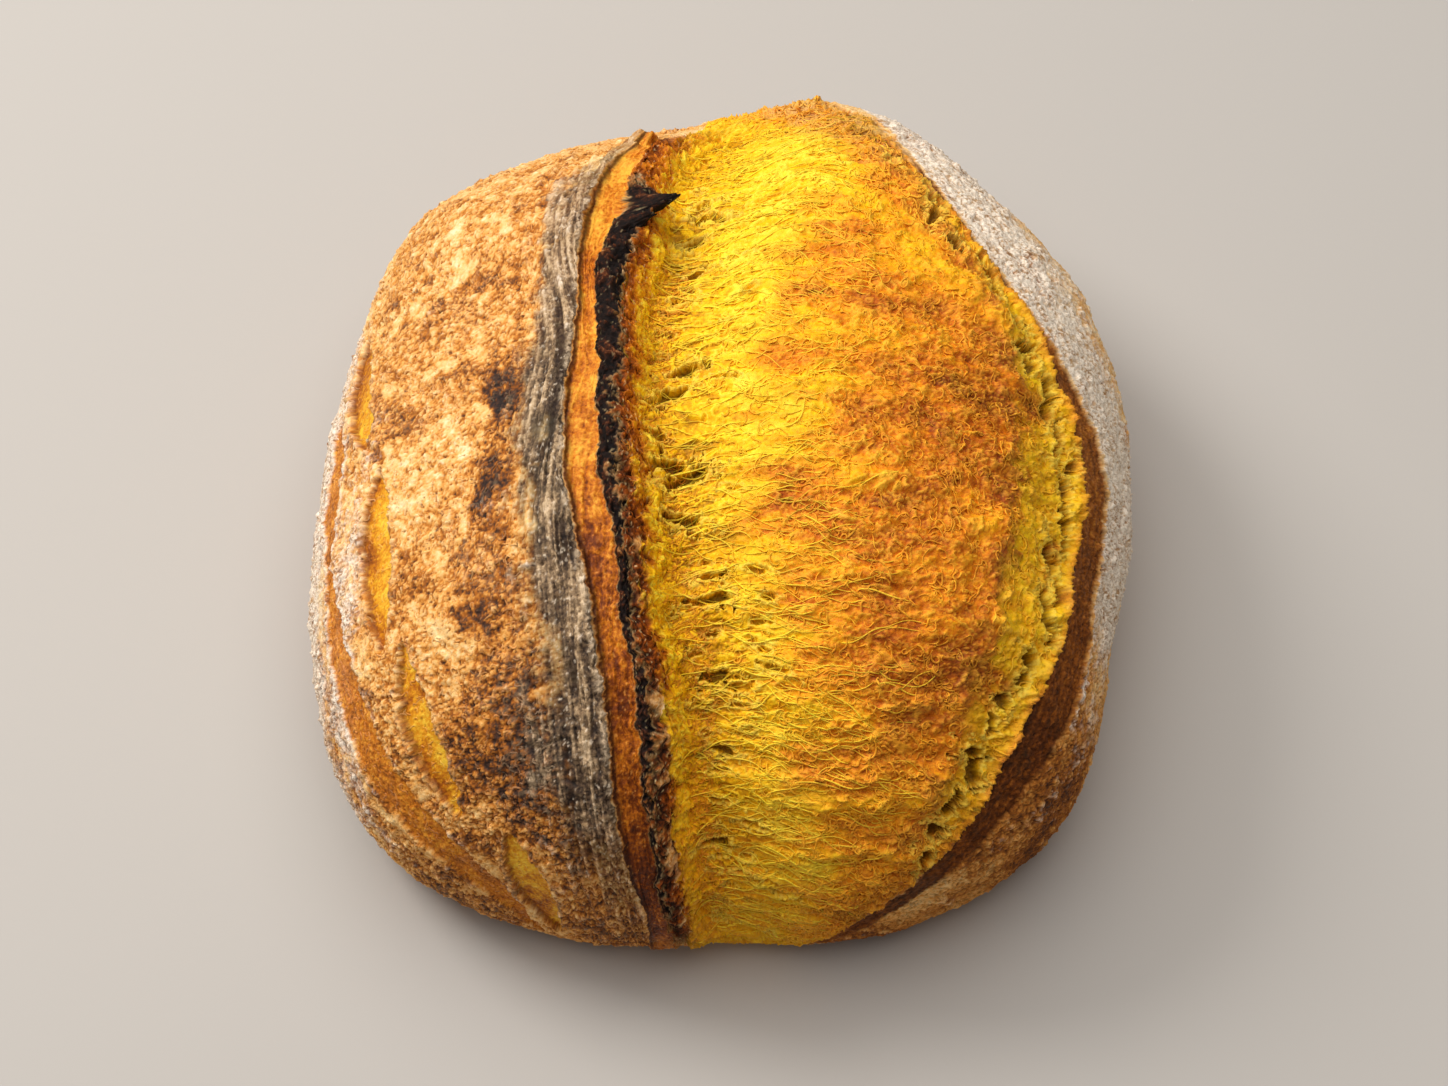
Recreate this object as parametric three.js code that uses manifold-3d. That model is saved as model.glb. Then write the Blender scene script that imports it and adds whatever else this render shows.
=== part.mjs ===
// A round sourdough loaf, scored once down its length so that it burst open beside a standing ear.
// Millimetres, +Z up. The origin is on the table under the middle of the loaf. The score runs along Y:
// -Y is the front of the loaf, the burst is on the +X side of the ear and the row of small slashes on the -X side.
//
// Everything on the crust is placed on a map of it: [east, north] from the crown, east towards +X and north
// towards +Y. The edge of the flat base is CRUST_LENGTH from the crown, so a unit is nearly a millimetre walked
// along the crust.
import * as THREE from "three";
import { mergeVertices } from "three/addons/utils/BufferGeometryUtils.js";
import Module from "manifold-3d";

const CROWN_HEIGHT = 102;
const BELLY_HEIGHT = 30; // where the loaf is widest
const BASE_SHARE = 0.88; // the flat base's radius, as a share of the belly's
const CRUST_LENGTH = 173;
const MEAN_RADIUS = 110;
const TOP_SQUARENESS = 2.3; // exponents of the meridian: 2 is an ellipse, more is boxier
const TOP_FULLNESS = 2.1;
const UNDERSIDE_SQUARENESS = 2.2;
// Plan radius of the belly in equal steps of angle, anticlockwise from +X.
const BELLY_RADII = [
  104, 109.5, 115.5, 123.5, 112, 112.5, 116.5, 105.5, 103.5, 111.5, 122, 118, 111.5, 117, 117, 104.5,
];

const COLUMNS = 72; // facets round the loaf
const ROWS = 38; // facets from the crown to the middle of the base
const BASE_ROWS = 4;
const STATIONS = 24; // cross-sections along a swept feature

// Broad swellings of the dough: where on the map, how far they reach and how high they stand.
const SWELLINGS = [
  { at: [38, -22], reach: 62, height: 5 }, // the burst's dome
  { at: [22, 112], reach: 20, height: 3.5 }, // where the burst runs out at the back
  { at: [68, 108], reach: 26, height: -2.5 },
  { at: [-62, 20], reach: 46, height: 2 },
];

// Lines on the map, each from the back of the loaf to the front.
const EAR_LINE = [
  [-15, 90], [-25, 68], [-29, 52], [-31, 25], [-35, 9], [-36, -4], [-34, -14], [-29, -37], [-27, -51], [-25, -73],
  [-25, -90], [-24, -111], [-21, -132], [-25, -154],
];
const CREASE_LINE = [
  [42, 68], [51, 58], [60, 43], [72, 30], [87, 9], [92, -4], [95, -18], [90, -38], [78, -59], [66, -78], [56, -105],
];
const STRETCH_MARKS = [
  [[-111, 12], [-110, -12], [-104, -38]],
  [[-107, -30], [-98, -52], [-86, -74], [-78, -90], [-70, -104], [-62, -120], [-58, -136]],
];
const SLASHES = [
  [[-101, 40], [-101, 18], [-93, -8]],
  [[-88, -13], [-84, -34], [-76, -57]],
  [[-70, -56], [-67, -74], [-63, -94]],
  [[-52, -101], [-50, -118], [-51, -138]],
];

// Cross-sections of the swept features, anticlockwise: [across, up] in mm, across towards +X from the line and
// up out of the crust.
const EAR_SECTION = [
  [-20, -8], [17, -8], [15, -3.5], [12.6, 2], [11, 4.8], [9, 5.4], [7, 4.1], [1.6, 4.6], [0, 6.8], [-3, 5.8],
  [-8, 3.7], [-15, 1.6], [-25, -1.2],
];
const TROUGH_SECTION = [[2, 12], [2, -3], [12, -7.6], [20, -7.2], [25, -6.2], [32, -3.8], [44, -1], [50, 5]];
const CREASE_SECTION = [[-15, 5], [-10, -1.2], [-4, -2.2], [1.5, -2.6], [4.5, -1.8], [7, 5]];
const SLASH_SECTION = [[-6.4, 5], [-4.8, -2.2], [1.5, -2.4], [6.5, 4]];
const MARK_SECTION = [[-5.5, 4], [-3.4, -1], [3.4, -0.9], [5.5, 4]];

// A closed ring of values read smoothly at any angle (periodic Catmull-Rom).
function ringValue(values, angle) {
  const count = values.length;
  const turn = ((angle / (2 * Math.PI)) * count + count) % count;
  const start = Math.floor(turn);
  const share = turn - start;
  const at = (step) => values[(start + step + count) % count];
  return THREE.MathUtils.lerp(
    at(0) + share * 0.5 * (at(1) - at(-1)) * (1 - share),
    at(1) - (1 - share) * 0.5 * (at(2) - at(0)) * share,
    share * share * (3 - 2 * share),
  );
}

// Half a vertical section of the dough, from the crown over the belly to the edge of the base.
class Meridian extends THREE.Curve {
  getPoint(t, target = new THREE.Vector2()) {
    const angle = Math.PI * (0.5 - t);
    const out = Math.abs(Math.cos(angle));
    const rise = Math.abs(Math.sin(angle));
    if (angle > 0) {
      const height = (CROWN_HEIGHT - BELLY_HEIGHT) * rise ** (2 / TOP_FULLNESS);
      return target.set(MEAN_RADIUS * out ** (2 / TOP_SQUARENESS), BELLY_HEIGHT + height);
    }
    const reach = BASE_SHARE + (1 - BASE_SHARE) * out ** (2 / UNDERSIDE_SQUARENESS);
    return target.set(MEAN_RADIUS * reach, BELLY_HEIGHT * (1 - rise ** (2 / UNDERSIDE_SQUARENESS)));
  }
}
const meridian = new Meridian();
meridian.arcLengthDivisions = 800;

function swellingAt(east, north) {
  let height = 0;
  for (const { at, reach, height: most } of SWELLINGS) {
    const far = ((east - at[0]) ** 2 + (north - at[1]) ** 2) / reach ** 2;
    height += most * Math.exp(-far);
  }
  return height;
}

// The dough before swelling, at a place on the map.
function plainPoint(east, north) {
  const angle = Math.atan2(north, east);
  const share = Math.min(Math.hypot(east, north) / CRUST_LENGTH, 1);
  const section = meridian.getPointAt(share);
  const radius = (section.x / MEAN_RADIUS) * ringValue(BELLY_RADII, angle);
  return new THREE.Vector3(radius * Math.cos(angle), radius * Math.sin(angle), section.y);
}

function outwardAt(east, north) {
  const step = 1.5;
  const alongEast = plainPoint(east + step, north).sub(plainPoint(east - step, north));
  const alongNorth = plainPoint(east, north + step).sub(plainPoint(east, north - step));
  return alongEast.cross(alongNorth).normalize();
}

function crustPoint(east, north) {
  return plainPoint(east, north).addScaledVector(outwardAt(east, north), swellingAt(east, north));
}

// The dough as a sphere moved onto the crust map, its last rows laid flat as the base.
function doughGeometry() {
  const sphere = new THREE.SphereGeometry(1, COLUMNS, ROWS).rotateX(Math.PI / 2);
  const place = sphere.getAttribute("position");
  const direction = new THREE.Vector3();
  const crustRows = ROWS - BASE_ROWS;
  for (let i = 0; i < place.count; i++) {
    direction.fromBufferAttribute(place, i);
    const angle = Math.atan2(direction.y, direction.x);
    const row = (Math.acos(THREE.MathUtils.clamp(direction.z, -1, 1)) / Math.PI) * ROWS;
    if (row < crustRows - 0.5) {
      const far = (row / crustRows) * CRUST_LENGTH;
      const point = crustPoint(far * Math.cos(angle), far * Math.sin(angle));
      place.setXYZ(i, point.x, point.y, Math.max(point.z, 0));
    } else {
      const radius = BASE_SHARE * ringValue(BELLY_RADII, angle) * ((ROWS - row) / BASE_ROWS);
      place.setXYZ(i, radius * Math.cos(angle), radius * Math.sin(angle), 0);
    }
  }
  return sphere;
}

// A solid swept along a line on the map, its section shrinking to nothing at both ends. The section bends with
// the crust: across is walked on the map, up is off it.
function sweptGeometry(line, section, fade = 0.2) {
  const path = new THREE.CatmullRomCurve3(line.map(([east, north]) => new THREE.Vector3(east, north, 0)));
  const vertices = [];
  for (let i = 0; i <= STATIONS; i++) {
    const middle = path.getPointAt(i / STATIONS);
    const along = path.getTangentAt(i / STATIONS);
    const toEnd = Math.min(i, STATIONS - i) / (STATIONS * fade);
    const size = Math.max(0.04, Math.sin((Math.PI / 2) * Math.min(toEnd, 1)));
    for (const [across, up] of section) {
      const east = middle.x - along.y * across * size;
      const north = middle.y + along.x * across * size;
      vertices.push(crustPoint(east, north).addScaledVector(outwardAt(east, north), up * size));
    }
  }
  const count = section.length;
  const faces = [];
  for (let i = 0; i < STATIONS; i++) {
    for (let j = 0; j < count; j++) {
      const a = i * count + j;
      const b = i * count + ((j + 1) % count);
      faces.push(a, b, a + count, b, b + count, a + count);
    }
  }
  const outline = section.map(([across, up]) => new THREE.Vector2(across, up));
  for (const [a, b, c] of THREE.ShapeUtils.triangulateShape(outline, [])) {
    const last = STATIONS * count;
    faces.push(c, b, a, last + a, last + b, last + c);
  }
  const geometry = new THREE.BufferGeometry().setFromPoints(vertices);
  geometry.setIndex(faces);
  return geometry;
}

const wasm = await Module();
wasm.setup();

function solidOf(geometry) {
  const bare = geometry.clone();
  bare.deleteAttribute("normal");
  bare.deleteAttribute("uv");
  const merged = mergeVertices(bare, 1e-3);
  const triVerts = new Uint32Array(merged.index.array);
  const solid = () =>
    new wasm.Manifold(new wasm.Mesh({ numProp: 3, vertProperties: merged.attributes.position.array, triVerts }));
  const made = solid();
  if (made.volume() > 0) return made;
  for (let i = 0; i < triVerts.length; i += 3) [triVerts[i], triVerts[i + 1]] = [triVerts[i + 1], triVerts[i]];
  return solid();
}

function geometryOf(solid) {
  const { numProp, numVert, vertProperties, triVerts } = solid.getMesh();
  const positions = new Float32Array(numVert * 3);
  for (let i = 0; i < numVert; i++) positions.set(vertProperties.subarray(i * numProp, i * numProp + 3), i * 3);
  const geometry = new THREE.BufferGeometry();
  geometry.setAttribute("position", new THREE.BufferAttribute(positions, 3));
  geometry.setIndex(new THREE.BufferAttribute(triVerts, 1));
  geometry.computeVertexNormals();
  return geometry;
}

function bakedLoaf() {
  let loaf = solidOf(doughGeometry());
  loaf = loaf.subtract(solidOf(sweptGeometry(EAR_LINE, TROUGH_SECTION)));
  loaf = loaf.subtract(solidOf(sweptGeometry(CREASE_LINE, CREASE_SECTION, 0.35)));
  for (const mark of STRETCH_MARKS) loaf = loaf.subtract(solidOf(sweptGeometry(mark, MARK_SECTION, 0.4)));
  for (const slash of SLASHES) loaf = loaf.subtract(solidOf(sweptGeometry(slash, SLASH_SECTION, 0.5)));
  return loaf.add(solidOf(sweptGeometry(EAR_LINE, EAR_SECTION)));
}

const crust = new THREE.MeshStandardMaterial({ color: 0xb9732b, roughness: 0.82, metalness: 0 });
const mesh = new THREE.Mesh(geometryOf(bakedLoaf()), crust);
mesh.name = "loaf";
const middle = new THREE.Box3().setFromObject(mesh).getCenter(new THREE.Vector3());
mesh.geometry.translate(-middle.x, -middle.y, 0);

const loaf = new THREE.Group();
loaf.add(mesh);
export default loaf;
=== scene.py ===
"""A round sourdough loaf with a yellow crumb, burst open beside a standing ear, on a pale sweep.

The crust is one skin, a square grid wrapped over the loaf. Every vertex knows its place on a flat map of the
crust: p runs east (+X) and q north (+Y, the back of the loaf), both in millimetres walked from the crown. The
score, the burst, the slashes and the flour are all placed on that map. Lengths are millimetres until the mesh
is written, and textures are evaluated once per vertex, so one set of values shapes and paints the crust.
"""

import math

import bpy
import numpy as np
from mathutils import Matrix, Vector


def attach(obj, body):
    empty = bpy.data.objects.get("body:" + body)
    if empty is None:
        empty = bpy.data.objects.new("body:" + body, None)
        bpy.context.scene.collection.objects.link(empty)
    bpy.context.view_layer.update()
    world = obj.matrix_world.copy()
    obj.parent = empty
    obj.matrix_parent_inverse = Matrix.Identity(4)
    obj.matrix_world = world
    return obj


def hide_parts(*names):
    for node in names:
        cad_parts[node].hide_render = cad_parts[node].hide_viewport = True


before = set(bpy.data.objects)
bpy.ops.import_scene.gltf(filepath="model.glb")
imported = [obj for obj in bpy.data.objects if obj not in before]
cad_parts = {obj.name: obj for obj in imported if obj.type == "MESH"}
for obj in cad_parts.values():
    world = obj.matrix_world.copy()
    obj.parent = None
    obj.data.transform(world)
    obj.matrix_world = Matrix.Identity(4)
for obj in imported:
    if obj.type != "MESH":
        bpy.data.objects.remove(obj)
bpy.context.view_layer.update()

MM = 0.001
SEED = 11

# -------- the loaf's form, the same as the CAD part's
CROWN_HEIGHT = 102.0
BELLY_HEIGHT = 30.0
BASE_SHARE = 0.88
MAP_SPAN = 173.0
BELLY_RADII = [
    104, 109.5, 115.5, 123.5, 112, 112.5, 116.5, 105.5, 103.5, 111.5, 122, 118, 111.5, 117, 117, 104.5,
]
TOP_SQUARENESS, TOP_FULLNESS, UNDERSIDE_SQUARENESS = 2.3, 2.1, 2.2
MEAN_RADIUS = 110.0

# -------- lines on the map, as (p, q) places along each
EAR = [
    (-25, -150), (-21, -132), (-24, -111), (-25, -90), (-25, -73), (-27, -51), (-29, -37), (-34, -14),
    (-36, -4), (-35, 9), (-31, 25), (-29, 52), (-25, 68), (-18, 84), (-8, 102), (-4, 118),
]
RIM_LEFT = [
    (-15, -147), (-17, -110), (-18, -80), (-20, -60), (-22, -34), (-27, -10), (-30, 4), (-27, 20),
    (-24, 36), (-21, 58), (-15, 84), (-5, 102), (-2, 118),
]
RIM_RIGHT = [
    (-12, -147), (-12, -122), (-13, -100), (-12, -84), (-16, -64), (-18, -38), (-19, -18), (-23, -4),
    (-23, 8), (-19, 30), (-18, 58), (-11, 84), (-2, 102), (0, 118),
]
BURST_RIGHT = [
    (14, -176), (22, -168), (32, -150), (44, -128), (56, -105), (66, -78), (78, -59), (90, -38), (95, -18),
    (92, -4), (87, 9), (72, 30), (60, 43), (51, 58), (42, 68), (33, 90), (20, 112), (6, 126),
]
BAND_LEFT = [
    (46, -128), (48, -93), (55, -64), (62, -44), (69, -30), (72, -8), (71, 10), (66, 26), (58, 38),
    (48, 54), (40, 66),
]
LIP_RIGHT = [
    (24, -170), (42, -142), (50, -129), (60, -114), (70, -96), (82, -77), (95, -57), (105, -35), (107, -18),
    (102, 2), (90, 14), (73, 31), (60, 45), (52, 60), (43, 69), (34, 92),
]
TOAST_LINE = [
    (-16, 106), (14, 92), (34, 70), (28, 52), (18, 34), (11, 14), (9, -10), (7, -36), (9, -62), (16, -90),
    (26, -116), (32, -150),
]
LINE_STEP, LINE_END = 0.5, 215.0


def smoothstep(low, high, x):
    """0 below low and 1 above high, eased between; with low above high it falls instead."""
    t = np.clip((x - low) / (high - low), 0.0, 1.0)
    return t * t * (3.0 - 2.0 * t)


def between(x, start, full, fading, gone):
    """1 from full to fading, eased down to 0 at start and at gone."""
    return smoothstep(start, full, x) * smoothstep(gone, fading, x)


def gauss(x, width):
    """1 where x is 0, fading over the width; over a noise it draws thin winding threads."""
    return np.exp(-np.square(x / width))


def blobs(p, q, spots):
    """Soft spots added up, each (p, q, half width, half length, strength)."""
    return sum(most * np.exp(-np.square((p - east) / wide) - np.square((q - north) / long))
               for east, north, wide, long, most in spots)


def knots_at(knots, x):
    """The value at x along a path of (x, value) knots."""
    return np.interp(x, [knot[0] for knot in knots], [knot[1] for knot in knots])


def blurred(values, step, width, reach):
    """Values a step apart, blurred by a bell curve of that width and cut off after reach steps."""
    weights = np.exp(-0.5 * (np.arange(-reach, reach + 1) * step / width) ** 2)
    return np.convolve(np.pad(values, reach, mode="edge"), weights / weights.sum(), mode="valid")


def line_at(line, q, soft=5.0):
    """The p of a line on the map at each q, with its corners rounded over soft mm."""
    along = np.arange(-LINE_END, LINE_END + LINE_STEP, LINE_STEP)
    values = knots_at(sorted((north, east) for east, north in line), along)
    return np.interp(q, along, blurred(values, LINE_STEP, soft, int(3 * soft / LINE_STEP)))


def ring_value(values, angle):
    """A closed ring of values read smoothly at any angle (periodic Catmull-Rom)."""
    values = np.asarray(values, float)
    count = len(values)
    turn = (angle / (2 * math.pi) * count) % count
    start = np.floor(turn).astype(int)
    f = turn - start
    a, b, c, d = (values[(start + step) % count] for step in (-1, 0, 1, 2))
    return 0.5 * (2 * b + (c - a) * f + (2 * a - 5 * b + 4 * c - d) * f**2 + (3 * b - a - 3 * c + d) * f**3)


def meridian():
    """Half a vertical section from crown to base edge: share of its length, radius factor and height."""
    angle = np.radians(np.linspace(90.0, -90.0, 4001))
    out, rise = np.abs(np.cos(angle)), np.abs(np.sin(angle))
    upper = angle > 0
    radius = np.where(upper, out ** (2 / TOP_SQUARENESS),
                      BASE_SHARE + (1 - BASE_SHARE) * out ** (2 / UNDERSIDE_SQUARENESS))
    height = np.where(upper, BELLY_HEIGHT + (CROWN_HEIGHT - BELLY_HEIGHT) * rise ** (2 / TOP_FULLNESS),
                      BELLY_HEIGHT * (1 - rise ** (2 / UNDERSIDE_SQUARENESS)))
    steps = np.hypot(np.diff(radius * MEAN_RADIUS), np.diff(height))
    walked = np.concatenate([[0.0], np.cumsum(steps)])
    return walked / walked[-1], radius, height


SHARE_TABLE, RADIUS_TABLE, HEIGHT_TABLE = meridian()


def body_point(p, q):
    """The dough's surface at a place on the map, before the score and the oven's swellings."""
    angle = np.arctan2(q, p)
    share = np.clip(np.hypot(p, q) / MAP_SPAN, 0.0, 1.0)
    radius = np.interp(share, SHARE_TABLE, RADIUS_TABLE) * ring_value(BELLY_RADII, angle)
    height = np.interp(share, SHARE_TABLE, HEIGHT_TABLE)
    return np.stack([radius * np.cos(angle), radius * np.sin(angle), height], -1)


def body_normal(p, q, step=1.0):
    east = body_point(p + step, q) - body_point(p - step, q)
    north = body_point(p, q + step) - body_point(p, q - step)
    normal = np.cross(east, north)
    return normal / (np.linalg.norm(normal, axis=-1, keepdims=True) + 1e-9)


# -------- the grid
COLUMNS_FROM, COLUMNS_TO = -165.0, 220.0
COLUMN_PITCH = [(-60, 0.44), (-9, 0.42), (-5, 0.26), (34, 0.26), (40, 0.36), (110, 0.4), (150, 0.55)]
ROWS, QUICK_ROWS, QUICK_COARSER = 1000, 480, 2.0
EAR_GUESS, EAR_TURNS = -0.15, 12


def graded_columns():
    """Column places in mm east of the ear's edge: finest over the ear's face and the torn wall."""
    scale = 1.0
    places, x = [], COLUMNS_FROM
    while x < COLUMNS_TO:
        places.append(x)
        x += knots_at(COLUMN_PITCH, x) * scale
    return np.array(places)


def make_grid():
    """Places of the grid's vertices on the map, as rows (front to back) of columns (west to east)."""
    rows = ROWS
    v = np.linspace(-1.0, 1.0, rows)
    columns = graded_columns()
    ear = columns.searchsorted(0.0)
    west = (columns[: ear + 1] - columns[ear]) / (columns[ear] - columns[0])
    east = (columns[ear:] - columns[ear]) / (columns[-1] - columns[ear])
    # the ear's column, found by turns: its q from its u, then its u from the ear's line
    u_ear = np.zeros(rows) + EAR_GUESS
    for _ in range(EAR_TURNS):
        q = MAP_SPAN * v * np.sqrt(1 - u_ear**2 / 2)
        u_ear = line_at(EAR, q) / MAP_SPAN / np.sqrt(1 - v**2 / 2)
    u = np.empty((rows, len(columns)))
    u[:, : ear + 1] = u_ear[:, None] + west[None, :] * (1 + u_ear[:, None])
    u[:, ear:] = u_ear[:, None] + east[None, :] * (1 - u_ear[:, None])
    v = np.repeat(v[:, None], len(columns), 1)
    return MAP_SPAN * u * np.sqrt(1 - v**2 / 2), MAP_SPAN * v * np.sqrt(1 - u**2 / 2)


# -------- textures evaluated at the vertices
# name: (space, kind, lengths of one unit in mm, detail, roughness, distortion)
WARPS = {
    "warp_p": ("map", "noise", (9, 7, 1), 3, 0.6, 0.0),
    "warp_q": ("map", "noise", (9, 7, 1), 3, 0.6, 0.0),
}
WARP_REACH = (2.6, 2.2)
TEXTURES = {
    "big": ("solid", "noise", (46, 46, 46), 2, 0.5, 0.0),
    "mid": ("solid", "noise", (15, 15, 15), 3, 0.5, 0.0),
    "small": ("solid", "noise", (5, 5, 5), 3, 0.55, 0.3),
    "fine": ("solid", "noise", (1.7, 1.7, 1.7), 2, 0.6, 0.0),
    "grit": ("solid", "noise", (0.9, 0.9, 0.9), 1, 0.6, 0.0),
    "patch": ("solid", "noise", (24, 24, 24), 4, 0.6, 0.4),
    "patch2": ("solid", "noise", (11, 11, 11), 4, 0.65, 0.6),
    "speck": ("solid", "noise", (2.6, 2.6, 2.6), 3, 0.7, 0.8),
    "worm": ("solid", "noise", (2.6, 2.6, 2.6), 1, 0.6, 1.4),
    "blister": ("solid", "cells", (2.6, 2.6, 2.6), 0, 0.5, 0.0),
    "blister_big": ("solid", "cells", (5.2, 5.2, 5.2), 0, 0.5, 0.0),
    "pit": ("solid", "cells", (1.9, 1.9, 1.9), 0, 0.5, 0.0),
    "scale": ("warped", "edges", (1.5, 3.4, 1), 0, 0.5, 0.0),
    "net": ("warped", "edges", (2.5, 3.6, 1), 0, 0.5, 0.0),
    "net_small": ("solid", "edges", (2.0, 2.0, 2.0), 0, 0.5, 0.0),
    "wave": ("map", "noise", (26, 9, 1), 2, 0.5, 0.6),
    "vein": ("warped", "noise", (8.5, 6, 1), 1, 0.5, 1.1),
    "vein_small": ("warped", "noise", (3.6, 2.6, 1), 1, 0.5, 1.4),
    "curl": ("warped", "noise", (2.0, 1.5, 1), 1, 0.5, 1.2),
    "strand": ("warped", "noise", (17, 2.4, 1), 1, 0.5, 0.7),
    "strand_fine": ("warped", "noise", (9, 1.3, 1), 1, 0.5, 0.6),
    "skein": ("solid", "noise", (3.4, 3.4, 3.4), 4, 0.7, 1.6),
    "striation": ("map", "noise", (1.3, 20, 1), 3, 0.65, 0.5),
    "flow": ("map", "noise", (4.5, 36, 1), 3, 0.6, 0.4),
    "ragged": ("map", "noise", (400, 5.5, 1), 4, 0.7, 0.0),
    "ragged2": ("map", "noise", (400, 9, 1), 4, 0.7, 0.0),
    "toast": ("map", "noise", (18, 9, 1), 5, 0.65, 0.6),
}
NOISE_LIMIT = 1.4
TEXTURES_APART = (3.7, 1.9, 5.3)


def add_node(tree, kind, inputs=None, **settings):
    """A node with its settings and inputs, each input a value or another node's output."""
    node = tree.nodes.new(kind)
    for name, value in settings.items():
        setattr(node, name, value)
    for name, value in (inputs or {}).items():
        if isinstance(value, bpy.types.NodeSocket):
            tree.links.new(value, node.inputs[name])
        else:
            node.inputs[name].default_value = value
    return node


def texture_output(tree, kind, place, detail, roughness, distortion):
    """The output of one procedural texture: a noise, or the distance to a cell's middle or edge."""
    inputs = {"Vector": place, "Scale": 1.0}
    if kind == "noise":
        inputs |= {"Detail": detail, "Roughness": roughness, "Distortion": distortion}
        return add_node(tree, "ShaderNodeTexNoise", inputs).outputs[0]
    feature = "F1" if kind == "cells" else "DISTANCE_TO_EDGE"
    return add_node(tree, "ShaderNodeTexVoronoi", inputs, feature=feature).outputs["Distance"]


def sample_textures(solid, mapped, warped, recipes):
    """Evaluates each texture at every vertex, by geometry nodes on a cloud of the vertices. Noise comes back
    centred on 0, mostly within 1 of it; cells and edges as distances in cells."""
    count = len(solid)
    cloud = bpy.data.meshes.new("cloud")
    cloud.vertices.add(count)
    cloud.vertices.foreach_set("co", solid.astype(np.float32).ravel())
    holder = bpy.data.objects.new("cloud", cloud)
    bpy.context.scene.collection.objects.link(holder)
    tree = bpy.data.node_groups.new("cloud", "GeometryNodeTree")
    for way in ("INPUT", "OUTPUT"):
        tree.interface.new_socket("Geometry", in_out=way, socket_type="NodeSocketGeometry")
    geometry = add_node(tree, "NodeGroupInput").outputs[0]
    spaces = {"solid": add_node(tree, "GeometryNodeInputPosition").outputs[0]}
    for name, values in (("map", mapped), ("warped", warped)):
        place = cloud.attributes.new(name, "FLOAT_VECTOR", "POINT")
        place.data.foreach_set("vector", values.astype(np.float32).ravel())
        named = add_node(tree, "GeometryNodeInputNamedAttribute", {"Name": name}, data_type="FLOAT_VECTOR")
        spaces[name] = named.outputs[0]
    for index, (name, (space, kind, lengths, *character)) in enumerate(recipes.items()):
        inputs = {0: spaces[space], 1: [1.0 / length for length in lengths],
                  2: [apart * index + start for apart, start in zip(TEXTURES_APART, (SEED, 0, 0))]}
        place = add_node(tree, "ShaderNodeVectorMath", inputs, operation="MULTIPLY_ADD").outputs[0]
        value = texture_output(tree, kind, place, *character)
        inputs = {"Geometry": geometry, "Name": name, "Value": value}
        geometry = add_node(tree, "GeometryNodeStoreNamedAttribute", inputs, data_type="FLOAT").outputs[0]
    add_node(tree, "NodeGroupOutput", {0: geometry})
    holder.modifiers.new("cloud", "NODES").node_group = tree
    made = holder.evaluated_get(bpy.context.evaluated_depsgraph_get()).data
    found = {}
    for name, recipe in recipes.items():
        values = np.empty(count, np.float32)
        made.attributes[name].data.foreach_get("value", values)
        if recipe[1] == "noise":
            centred = (values - values.mean()) / (2 * values.std())
            values = np.clip(centred, -NOISE_LIMIT, NOISE_LIMIT)
        found[name] = values
    bpy.data.objects.remove(holder)
    bpy.data.meshes.remove(cloud)
    bpy.data.node_groups.remove(tree)
    return found


# -------- the score: ear, rim, torn wall and hollow
# Along the ear's section: (mm along the grid, mm east of the ear's edge, mm out of the crust). It folds back
# under the rim, so it is a path and not a height.
EAR_SECTION = [
    (-34, -34, 0.0), (-24, -24, 0.6), (-14, -14, 2.1), (-6, -6, 4.6), (-1.5, -1.5, 6.6), (0, 0, 6.8),
    (1.2, 0.8, 4.9), (3, 2.2, 4.4), (8, 6.4, 4.0), (9.6, 7.1, 5.2), (12, 9.2, 5.6), (14, 10.6, 5.0),
    (15.5, 11.7, 3.8), (18, 12.9, 1.8), (24, 15.6, -3.2), (28, 17.4, -6.0), (31, 19.4, -7.2),
    (36, 23.4, -7.0), (46, 32, -4.0), (56, 44, -1.2), (66, 57, 0.0), (85, 82, 0.0), (105, 105, 0.0),
]
SECTION_STEP, SECTION_SOFT, SECTION_REACH = 0.1, 0.45, 20
# along the score: (q, value)
EAR_RISE = [(-165, 0), (-140, 0.5), (-100, 0.85), (-40, 1), (20, 1), (50, 0.9), (72, 0.6), (88, 0.2), (98, 0)]
HOLLOW_DEPTH = [(-172, 0), (-150, 0.5), (-120, 0.8), (-60, 1), (0, 1), (50, 0.9), (80, 0.6), (98, 0)]
RIM_END = [(-140, 9.6), (-70, 10.8), (-20, 12.6), (20, 14.5)]
ASH_WIDTH = [(-150, 8), (-90, 15), (-40, 12), (0, 12), (40, 9), (70, 4)]
ASH_SHARE = [(-150, 0), (-122, 0.45), (-96, 0.95), (-10, 0.97), (30, 0.9), (62, 0.75), (88, 0.2)]
LIP_SHARE = [(-172, 0), (-140, 1), (66, 1), (80, 0)]


def ear_section(t):
    """The ear's section at t mm along the grid: mm pushed east, and mm out of the crust."""
    along = np.arange(-40.0, 110.0, SECTION_STEP)
    for knots in ([(at, east - at) for at, east, _ in EAR_SECTION], [(at, up) for at, _, up in EAR_SECTION]):
        values = blurred(knots_at(knots, along), SECTION_STEP, SECTION_SOFT, SECTION_REACH)
        yield np.interp(t, along, values)


def inside_lens(p, q, back, front, middle, half_width):
    """1 at the middle of a leaf-shaped slash, 0 on its edge, negative outside; and which side, -1 to 1."""
    tip = 0.02
    reach = 1 - ((2 * q - back - front) / (back - front)) ** 2
    width = half_width * np.clip(reach, tip, 1.0) ** 0.8
    side = (p - line_at(middle, q, 3.0)) / width
    inside = np.where(reach > tip, 1 - np.abs(side), -1.0)
    return inside, np.clip(side, -3, 3)


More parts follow.
